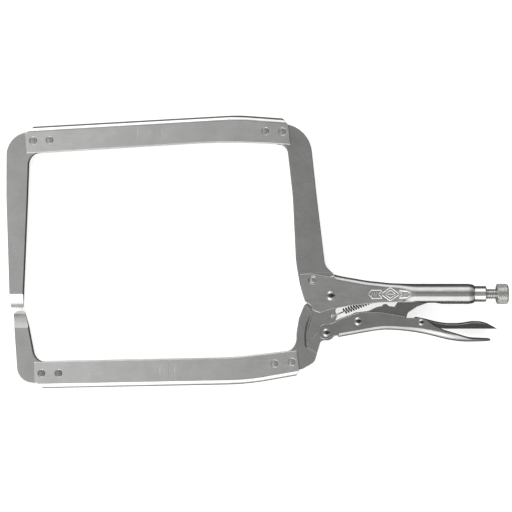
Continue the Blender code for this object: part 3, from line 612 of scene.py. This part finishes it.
def handle_section(x):
    """Outer and inner faces (y, z) of the handle at one station."""
    back = flowing(x, HANDLE_BACK) if x > -3.0 else 24.6 - (x + 3.0) * 0.173
    share = 0.0 if x < 57.0 else 1.0 if x > 78.0 else flowing(x, ROUNDING)
    slot = 9.0 if x < 62 else 8.4 if x < 95.5 else 8.4 - (x - 95.5) * 0.971 if x < 99 else \
        5.0 - (x - 99) * 1.433 if x < 102 else 0.7
    low = -24.0 if x <= 57.0 else -6.6 - 16.0 * (1 - share)
    radius = TUBE
    if x > 123.7:
        turn = min((x - 123.7) / 7.3, 1.0)
        radius = TUBE - 1.75 * (1 - (1 - turn * turn) ** 0.5)
    outer = channel(7.2, low, back, 5.2, 8, 10)
    inner = channel(4.6, low, back - 2.6, 2.6, 8, 10)
    round_out, round_in = tube(radius, slot), tube(TUBE - 2.6, slot)
    mix = lambda a, b: [((1 - share) * p[0] + share * q[0], (1 - share) * p[1] + share * q[1])
                        for p, q in zip(a, b)]
    return mix(outer, round_out), mix(inner, round_in)


def handle_face(x, y):
    """How far the handle's side stands out (z) at a place on it."""
    outer = handle_section(x)[0]
    for (y0, z0), (y1, z1) in zip(outer, outer[1:]):
        if y0 <= y <= y1:
            return z0 + (z1 - z0) * (y - y0) / (y1 - y0)
    return 7.2


def make_handle():
    places = stops((-36.0, -3.0, 5), (-3.0, 6.0, 9), (6.0, 57.0, 24), (57.0, 78.0, 21),
                   (78.0, 95.5, 6), (95.5, 102.0, 8), (102.0, 123.7, 6))
    places += [123.7 + 7.3 * sin(pi / 2 * number / 12) for number in range(1, 13)]
    rings = []
    for x in places:
        outer, inner = handle_section(x)
        rings.append([(x, y, z) for y, z in outer] + [(x, y, z) for y, z in reversed(inner)])
    handle = formed("handle_shell", rings)
    outline = rounded([
        (-28.6, 19.4, 1.5), (-18.2, 20.3, 12), (-3.4, 17.6, 0), (3.2, 16.5, 1.2), (4.0, 32.0, 0),
        (150.0, 32.0, 0), (150.0, -30.0, 0), (79.0, -30.0, 0), (76.4, -6.45, 0), (61.2, -5.9, 0),
        (46.0, -6.1, 30), (19.5, -8.9, 30), (7.8, -11.0, 20), (-2.0, -13.2, 10), (-9.5, -15.6, 5),
        (-16.6, -13.6, 5), (-17.6, -9.0, 2.5), (-23.0, -5.6, 4), (-26.4, 4.8, 20)])
    cut(handle, plate("trim", outline, -30, 30), "INTERSECT")
    ear = plate("ear", [(51.1, -1.3), (52.9, -1.3), (52.9, 10.6), (51.1, 10.6)], -2.4, 2.4)
    cut(ear, turned("eye", [(-6, 0), (-6, SPRING_HOLE), (6, SPRING_HOLE), (6, 0)],
                    (*SPRING_END, 0), "x", 32))
    cut(handle, ear, "UNION")
    holes(handle, [(0, 0, PIVOT_HOLE), (*FRONT_RIVET, PIVOT_HOLE)])
    break_edges(handle, 0.5, 3, 55.0, keep=lambda spot: spot.x < 123.0, gap=0.0001)
    return handle


def raised_line(name, path, side, radius=0.46, closed=True):
    """A low raised bead pressed along a path on the handle's side."""
    return bead(name, [(x, y, side * (handle_face(x, y) - 0.12)) for x, y in path], radius, closed)


def bead(name, spots, radius, closed=True):
    """A round bead laid through the spots."""
    spots = [Vector(spot) for spot in spots]
    count, around = len(spots), 10
    rows = count if closed else count - 1

    def place(row, column):
        here = spots[row % count]
        ahead = spots[(row + 1) % count] if closed else spots[min(row + 1, count - 1)]
        behind = spots[row - 1] if closed or row else spots[0]
        along = (ahead - behind).normalized()
        across = along.cross(Vector((0, 0, 1))).normalized()
        angle = 2 * pi * (column % around) / around
        return at(*(here + radius * (cos(angle) * across + sin(angle) * across.cross(along))))
    return wrapped(name, rows, around, place)


def make_emblem():
    """A plain raised badge on each side: a lozenge between two ribbed wings."""
    lozenge = rounded([(45.8, 1.3, 1.2), (54.4, 7.4, 1.8), (63.0, 1.3, 1.2), (54.4, -4.7, 1.8)], 12)
    wings = [rounded([(34.2, 1.6, 1.6), (37.4, 5.0, 1.4), (47.2, 4.8, 0.5), (43.6, 1.3, 0.6),
                      (47.2, -2.4, 0.5), (37.8, -2.6, 1.4)], 12),
             rounded([(61.6, 4.6, 0.5), (69.6, 4.0, 1.4), (74.4, 1.4, 1.6), (69.6, -1.9, 1.4),
                      (61.6, -2.2, 0.5), (65.2, 1.3, 0.6)], 12)]
    inner = rounded([(49.2, 1.3, 0.8), (54.4, 5.0, 1.0), (59.6, 1.3, 0.8), (54.4, -2.4, 1.0)], 12)
    ribs = [[(x - 0.6, -0.7), (x, 1.2), (x + 0.6, 3.1)] for x in (37.6, 39.6, 41.4, 67.2, 69.0, 70.8)]
    ribs += [[(54.4, -1.2), (54.4, 3.8)], [(51.6, 1.3), (57.2, 1.3)]]
    beads = []
    for side in (-1, 1):
        beads += [raised_line("bead", path, side) for path in (lozenge, wings[0], wings[1])]
        beads.append(raised_line("bead", inner, side, 0.34))
        beads += [raised_line("bead", path, side, 0.36, closed=False) for path in ribs]
    badge = joined(beads)
    badge.name = badge.data.name = "handle_badge"
    return badge


# ---------------------------------------------------------------- lever, link and release lever
LEVER_BACK = [(7.5, -37.7), (24.3, -34.7), (40.7, -31.9), (50.0, -31.0), (58.0, -31.2), (73.5, -32.8),
              (84.5, -34.6), (95.4, -37.2), (106.3, -39.9), (114.0, -41.2), (124.0, -42.0),
              (134.0, -41.9), (146.0, -41.2), (160.0, -40.1)]
RELEASE_BACK = [(60.0, -16.6), (84.4, -20.6), (89.6, -21.9), (95.1, -23.3), (100.7, -24.4),
                (107.3, -25.1), (114.5, -25.1), (121.8, -24.4), (129.6, -23.3), (135.2, -23.4),
                (141.0, -24.6), (147.5, -27.8), (156.0, -32.5)]


def make_lever():
    places = [-20.0, 6.2] + stops((7.5, 60.0, 28), (60.0, 106.0, 22), (106.0, 152.0, 20))
    fold = lambda x: -62.0 + (x + 20.0) * 0.3817 if x < 7.0 else flowing(x, LEVER_BACK)
    bend = lambda x: 4.4 + 2.5 * min(max((x - 62.0) / 36.0, 0.0), 1.0)
    lever = formed("lever_channel", [channel_ring(x, 7.0, -8.0, fold(x), bend(x), 2.4, 1, 9)
                                     for x in places])
    outline = rounded([
        (-11.4, -26.2, 6.2), (0.4, -25.4, 8), (9.5, -20.8, 20), (26.5, -15.0, 20),
        (46.0, -15.1, 20), (67.5, -18.9, 2.0), (69.0, -20.5, 1.5), (84.4, -20.7, 6),
        (94.6, -27.2, 12), (103.4, -31.5, 20), (127.0, -38.5, 30), (145.6, -39.2, 1.0),
        (145.6, -52.0, 0), (7.4, -52.0, 0), (7.4, -36.2, 1.2), (2.3, -36.8, 3),
        (-3.0, -39.5, 3.0), (-11.0, -39.5, 5.6)])
    cut(lever, plate("trim", outline, -30, 30), "INTERSECT")
    holes(lever, [(*LEVER_PIVOT, LEVER_HOLE), (*LINK_PIVOT, LEVER_HOLE),
                  (*RELEASE_PIVOT, RELEASE_HOLE)])
    return break_edges(lever, 0.5, 3, 55.0, gap=0.0001,
                       keep=lambda spot: spot.x < 86.0 or spot.y < flowing(spot.x, LEVER_BACK) + 1.0)


def make_lever_shadow_lines():
    """Dark beads along both edges of the lever's tail: painted shadow lines where the tail's edges
    border the shade inside the lever.
    """
    path = rounded([(88.6, -23.0, 0), (94.6, -27.2, 12), (103.4, -31.5, 20), (127.0, -38.5, 30),
                    (144.9, -39.2, 0)], 3)
    path = [spot for start, finish in zip(path, path[1:]) for spot in
            (start, ((start[0] + finish[0]) / 2, (start[1] + finish[1]) / 2))] + path[-1:]
    shadow_lines = joined([bead("rim", [(x, y - 0.5, side * 6.4) for x, y in path], 0.75, closed=False)
                   for side in (-1, 1)])
    shadow_lines.name = shadow_lines.data.name = "lever_painted_shadow_lines"
    return shadow_lines


def make_link():
    link = plate("toggle_plate", rounded([
        (17.6, -16.1, 7.0), (34.3, -14.2, 6), (42.2, -10.6, 6), (47.2, -9.6, 1.5), (48.6, -7.9, 0.6),
        (51.4, -7.9, 0.6), (53.0, -9.6, 1.0), (58.6, -10.4, 1.5), (62.5, -4.6, 4), (74.0, 2.6, 8),
        (89.2, 3.9, 4.0), (92.0, -1.1, 3.5), (89.2, -6.3, 3.5), (78.6, -10.2, 5), (70.4, -15.6, 3),
        (68.4, -22.2, 1.5), (58.0, -24.4, 6), (32.8, -29.5, 6), (17.6, -30.5, 7.0)]), -3.5, 3.5)
    holes(link, [(*LINK_PIVOT, LEVER_HOLE)])
    return break_edges(link, 0.5, 3)


def make_release():
    places = stops((66.0, 84.0, 6), (84.0, 152.0, 44))
    release = formed("release_tab", [
        channel_ring(x, 4.3, -44.0, flowing(x, RELEASE_BACK), 2.8, 1.8, 4, 8) for x in places])
    outline = rounded([
        (74.2, -26.4, 1.2), (75.6, -20.6, 2.4), (80.0, -18.4, 0), (80.0, -10.0, 0), (160.0, -10.0, 0),
        (160.0, -30.2, 0), (147.2, -30.2, 0), (104.5, -30.2, 14), (90.0, -28.4, 8), (82.0, -30.6, 4),
        (75.0, -27.6, 1.2)])
    cut(release, plate("trim", outline, -30, 30), "INTERSECT")
    holes(release, [(*RELEASE_PIVOT, RELEASE_HOLE)])
    return break_edges(release, 0.25, 2, 55.0)


# ---------------------------------------------------------------- screw, sleeve, knob, spring
def make_screw():
    """Adjusting screw: one tooth row wound round the core, cut square at both ends."""
    pitch, rows_each, around = 1.5875, 8, 40
    start, finish = 96.6, 158.6
    turns = int((finish - start) / pitch) + 2

    def place(row, column):
        angle = 2 * pi * column / around
        travel = start - 1.5 * pitch + (row / rows_each + column / around) * pitch
        rise = 1.0 - abs(2 * (row % rows_each) / rows_each - 1.0)
        radius = 3.86 + 0.79 * min(max((rise - 0.12) / 0.70, 0.0), 1.0)
        return at(travel, SCREW_Y + radius * cos(angle), radius * sin(angle))
    only()
    bpy.ops.mesh.primitive_grid_add(x_subdivisions=around, y_subdivisions=turns * rows_each, size=0.01)
    screw = named("threaded_screw")
    for number, corner in enumerate(screw.data.vertices):
        corner.co = place(*divmod(number, around + 1))
    edit_all(screw)
    bpy.ops.mesh.remove_doubles(threshold=SEAM)
    for x, way in ((start, -1), (finish, 1)):
        bpy.ops.mesh.select_all(action="SELECT")
        bpy.ops.mesh.bisect(plane_co=at(x, 0), plane_no=(way, 0, 0), use_fill=True, clear_outer=True)
    bpy.ops.object.mode_set(mode="OBJECT")
    return close_up(screw)


def make_knob():
    """Knob with diamond knurling between turned rims, a dished end and a blind hole for the screw."""
    rim = [(158.9, 0.0, 0), (158.9, 4.95, 0), (151.5, 4.95, 0), (151.2, 5.2, 0), (151.2, 7.9, 0),
           (151.45, 8.35, 0), (152.2, 8.95, 0)]
    knurl = [(152.2 + 8.5 * number / 56, 9.2, 1) for number in range(57)]
    end = [(160.75, 8.95, 0), (161.5, 8.35, 0), (161.8, 7.9, 0), (161.8, 6.4, 0), (161.55, 6.0, 0),
           (161.5, 5.4, 0), (161.5, 0.0, 0)]
    profile = rim + knurl + end
    count, around = 46, 368

    def place(row, column):
        x, radius, cut_in = profile[row]
        angle = 2 * pi * (column % around) / around
        if cut_in:
            u = (count * (column % around) / around + 7 * (x - 152.2) / 8.5) % 1.0
            v = (count * (column % around) / around - 7 * (x - 152.2) / 8.5) % 1.0
            peak = min(1 - abs(2 * u - 1), 1 - abs(2 * v - 1))
            radius -= 0.50 * (1 - min(peak * 1.35, 1.0))
        return at(x, SCREW_Y + radius * cos(angle), radius * sin(angle))
    return wrapped("knurled_knob", len(profile) - 1, around, place)


def make_sleeve():
    """Threaded sleeve: turned collar with a fine groove behind its chamfer."""
    return turned("turned_sleeve", [
        (104.0, 4.95), (104.0, 5.8), (104.5, 6.3), (131.3, 6.3), (131.3, 6.95), (131.5, 7.15),
        (140.7, 7.15), (141.3, 7.0), (141.75, 6.6), (141.9, 6.2), (141.9, 5.5), (141.5, 4.95)],
        (0.0, SCREW_Y, 0.0), "x", 72)


def make_spring():
    """Tension spring: hooked through the moving jaw, close coils, tail through the handle's ear."""
    start, end = Vector((*SPRING_START, 0.0)), Vector((*SPRING_END, 0.0))
    along = (end - start).normalized()
    across = Vector((0, 0, 1)).cross(along)
    total = (end - start).length
    up = Vector((0, 0, 1))
    hook = [(0.0, -2.0), (0.0, 2.4), (0.25, 3.95), (0.6, 4.45), (1.1, 4.65), (3.2, 4.65), (5.4, 4.65),
            (7.6, 4.05), (9.4, 2.7)]
    line = [start + along * travel + up * height for travel, height in hook]
    turns, each = 14, 20
    for step in range(turns * each + 1):
        angle = 2 * pi * step / each
        travel = 11.0 + (total - 20.0) * step / (turns * each)
        line.append(start + along * travel + 2.4 * (cos(angle) * up + sin(angle) * across))
    tail = [(-7.2, 0.0, 1.5), (-5.0, 0.0, 0.3), (-2.5, 0.0, 0.0), (0.6, 0.0, 0.0), (1.5, -0.05, 0.0),
            (2.2, -0.35, 0.0), (2.9, -1.1, 0.0), (3.1, -2.6, 0.0)]
    line += [end + along * travel + across * lift + up * height for travel, lift, height in tail]
    around = 10
    frames = []
    normal = across.copy()
    for index, spot in enumerate(line):
        ahead = (line[min(index + 1, len(line) - 1)] - line[max(index - 1, 0)]).normalized()
        normal = (normal - ahead * normal.dot(ahead)).normalized()
        frames.append((spot, normal.copy(), ahead.cross(normal)))

    def place(row, column):
        spot, first, second = frames[row]
        angle = 2 * pi * (column % around) / around
        return at(*(spot + 0.55 * (cos(angle) * first + sin(angle) * second)))
    return wrapped("tension_spring", len(line) - 1, around, place)


# ---------------------------------------------------------------- building the tool
upper_front, upper_rear = make_upper_arms()
finished(upper_front, "fixed_frame", ARM_STEEL, ["upper_front_arm"], angle=14)
finished(upper_rear, "fixed_frame", REAR_ARM_PAINTED_SHADE, ["upper_rear_arm"], angle=14)
lower_front, lower_rear = make_lower_arms()
finished(lower_front, "moving_jaw", ARM_STEEL, ["lower_front_arm"], angle=14)
finished(lower_rear, "moving_jaw", REAR_ARM_PAINTED_SHADE, ["lower_rear_arm"], angle=14)

upper_beam = make_beam("fixed_beam_channel", upper_line, upper_edge, [
    (FRONT + 16.6, TOP - 44), (-34.8, TOP - 44), (-38.2, TOP - 9.7), (-50.5, TOP + 6),
    (FRONT + 43.0, TOP + 6), (FRONT + 14.1, TOP - 17.2)], UPPER_RIVETS.values(),
    [(-176.0 + 5.6 * number, 147.6 + 0.31 * number) for number in range(7)])
finished(upper_beam, "fixed_frame", BEAM_STEEL, ["upper_beam"])
lower_beam = make_beam("moving_beam_channel", lower_line, lower_edge, [
    (FRONT + 22.2, BOTTOM + 40), (FRONT + 22.8, BOTTOM + 6.4), (FRONT + 36.9, BOTTOM - 6.6),
    (-38.6, BOTTOM - 6.6), (-28.3, BOTTOM + 16.7), (-31.6, BOTTOM + 40)], LOWER_RIVETS.values(),
    [(-156.0 + 4.6 * number, -68.2 + 0.1 * number) for number in range(4)])
finished(lower_beam, "moving_jaw", BEAM_STEEL, ["lower_beam"])
for rivets, body in ((UPPER_RIVETS, "fixed_frame"), (LOWER_RIVETS, "moving_jaw")):
    for node, spot in rivets.items():
        finished(beam_rivet(node + "_flush", spot), body,
                 WORN_STEEL if node.startswith("lower_front") else FLUSH_STEEL, [node])

finished(make_handle(), "fixed_frame", HANDLE_STEEL, ["handle_body"])
finished(make_emblem(), "fixed_frame", BADGE_PAINTED_HIGHLIGHT, angle=60)
for name, spot, shank, under, head, height, body, node in (
        ("main_rivet_domed", (0, 0), 3.3, 7.3, 4.2, 1.95, "fixed_frame", "main_pivot_rivet"),
        ("lever_rivet_domed", LEVER_PIVOT, 2.7, 7.1, 3.6, 1.6, "lever", "lever_pivot_rivet"),
        ("link_rivet_domed", LINK_PIVOT, 2.7, 7.1, 3.6, 1.6, "lever", "link_pivot_rivet"),
        ("release_rivet_domed", RELEASE_PIVOT, 2.1, 7.1, 2.8, 1.3, "lever", "release_pivot_rivet")):
    rivet = dome_rivet(name, spot, shank, under, head, height)
    finished(rivet, body, RIVET_STEEL, [node])
    paint_dome_core_reflection(rivet, spot, head * 0.56)
flush = [(6.98, 0.0), (7.0, 2.2), (6.9, 2.4), (7.0, 2.6), (7.0, 3.05), (6.75, 3.3)]
finished(turned("flush_rivet", flush + [(-z, r) for z, r in reversed(flush)],
                (*FRONT_RIVET, 0.0), "z", 48),
         "fixed_frame", HANDLE_STEEL, ["handle_front_rivet"])
finished(make_lever(), "lever", LEVER_STEEL, ["lever"])
finished(make_lever_shadow_lines(), "lever", LEVER_EDGE_PAINTED_SHADOW, angle=60)
finished(make_link(), "toggle_link", LINK_STEEL, ["toggle_link"])
finished(make_release(), "release_lever", RELEASE_PAINTED_SHADE, ["release_lever"])
finished(make_sleeve(), "fixed_frame", SLEEVE_STEEL, ["screw_sleeve"])
finished(make_screw(), "adjusting_screw", SCREW_STEEL, ["adjusting_screw"], angle=50)
finished(make_knob(), "screw_knob", KNOB_STEEL, ["screw_knob"], angle=30)
spring = make_spring()
only(spring)
bpy.ops.object.shade_smooth()
spring.data.materials.clear()
spring.data.materials.append(SPRING_STEEL)
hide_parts("jaw_spring")
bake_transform(spring)

# ---------------------------------------------------------------- floor, backdrop, light, camera
def lit_paper(name, grey, roughness, glow):
    """Plain studio paper with some light of its own."""
    paper = bpy.data.materials.new(name)
    paper.use_nodes = True
    surface = paper.node_tree.nodes["Principled BSDF"]
    surface.inputs["Base Color"].default_value = (grey, grey, grey, 1.0)
    surface.inputs["Roughness"].default_value = roughness
    surface.inputs["Emission Color"].default_value = (1.0, 1.0, 1.0, 1.0)
    surface.inputs["Emission Strength"].default_value = glow
    return paper


only()
bpy.ops.mesh.primitive_circle_add(vertices=96, radius=7.5, fill_type="NGON", location=(0, 0, -0.0002))
floor = named("studio_floor")
floor.data.materials.append(lit_paper("studio_paper", 0.45, 0.9, 0.78))
floor.visible_glossy = False

only()
bpy.ops.mesh.primitive_uv_sphere_add(segments=48, ring_count=24, radius=8.0, location=(0, 0, 0))
dome = named("studio_backdrop")
dome.data.materials.append(lit_paper("backdrop_white", 0.0, 0.5, 1.0))
dome.visible_diffuse = dome.visible_glossy = dome.visible_transmission = False
dome.visible_shadow = dome.visible_volume_scatter = False

studio = bpy.context.scene.world or bpy.data.worlds.new("studio")
bpy.context.scene.world = studio
studio.use_nodes = True
sky = studio.node_tree
sky.nodes.clear()
direction = sky.nodes.new("ShaderNodeTexCoord")
parts = sky.nodes.new("ShaderNodeSeparateXYZ")
sky.links.new(direction.outputs["Generated"], parts.inputs["Vector"])
tilt = sky.nodes.new("ShaderNodeMath")
tilt.operation = "ARCTAN2"
sky.links.new(parts.outputs["Y"], tilt.inputs[0])
sky.links.new(parts.outputs["Z"], tilt.inputs[1])
# Light by angle from straight up, towards the fixed jaw (+) and the lever (-), then by how far across.
SOFTBOXES = [(-180, 0.12), (-124, 0.12), (-112, 1.0), (-92, 1.0), (-84, 2.4), (-33, 2.4), (-25, 0.42),
             (-10, 0.62), (8, 0.58), (19, 0.24), (31, 0.9), (48, 2.1), (76, 2.1), (90, 0.30),
             (120, 0.12), (180, 0.12)]
ACROSS = [(-1.0, 0.2), (-0.7, 0.3), (-0.3, 1.5), (-0.1, 1.36), (0.02, 0.6), (0.06, 0.62),
          (0.15, 1.0), (0.35, 0.4), (1.0, 0.22)]
FULL = 3.0
LEFT_WALL = [(-1.0, 0.3), (-0.6, 0.35), (-0.3, 0.0), (1.0, 0.0)]


def ramp(lights, source, low, high):
    """A straight-line ramp over a direction value, as (place, light) stops up to the full light."""
    spread = sky.nodes.new("ShaderNodeMapRange")
    spread.inputs["From Min"].default_value, spread.inputs["From Max"].default_value = low, high
    sky.links.new(source, spread.inputs["Value"])
    scale = sky.nodes.new("ShaderNodeValToRGB")
    while len(scale.color_ramp.elements) < len(lights):
        scale.color_ramp.elements.new(0.5)
    for stop, (place, light) in zip(scale.color_ramp.elements, lights):
        stop.position = (place - low) / (high - low)
        stop.color = (light / FULL, light / FULL, light / FULL, 1.0)
    sky.links.new(spread.outputs["Result"], scale.inputs["Fac"])
    return scale.outputs["Color"]


def combine(kind, first, second):
    """Two light values multiplied or added, colour by colour."""
    step = sky.nodes.new("ShaderNodeVectorMath")
    step.operation = kind
    for socket, value in zip(step.inputs, (first, second)):
        if isinstance(value, tuple):
            socket.default_value = value
        else:
            sky.links.new(value, socket)
    return step.outputs["Vector"]


bands = ramp([(radians(angle), light) for angle, light in SOFTBOXES], tilt.outputs["Value"], -pi, pi)
across = ramp(ACROSS, parts.outputs["X"], -1.0, 1.0)
left_wall = ramp(LEFT_WALL, parts.outputs["X"], -1.0, 1.0)
glow_all = combine("ADD", combine("MULTIPLY", combine("MULTIPLY", bands, across), (FULL * FULL,) * 3),
                   combine("MULTIPLY", left_wall, (FULL,) * 3))
background = sky.nodes.new("ShaderNodeBackground")
sky.links.new(glow_all, background.inputs["Color"])
world_out = sky.nodes.new("ShaderNodeOutputWorld")
sky.links.new(background.outputs["Background"], world_out.inputs["Surface"])

only()
bpy.ops.object.light_add(type="AREA", location=(-0.5, 0.6, 1.4))
key = bpy.context.object
key.name = "key_softbox"
key.data.shape, key.data.size, key.data.energy = "DISK", 0.9, 6.0
key.rotation_euler = (Vector((0, 0, 0)) - key.location).to_track_quat("-Z", "Y").to_euler()
key.visible_glossy = False

bpy.ops.object.camera_add(location=(-0.0013, -0.0038, 1.909), rotation=(0, 0, 0))
camera = bpy.context.object
camera.name = "overhead_camera"
camera.data.lens, camera.data.sensor_width = 146.5, 36.0
bpy.context.scene.camera = camera
bpy.context.scene.view_settings.view_transform = "Standard"
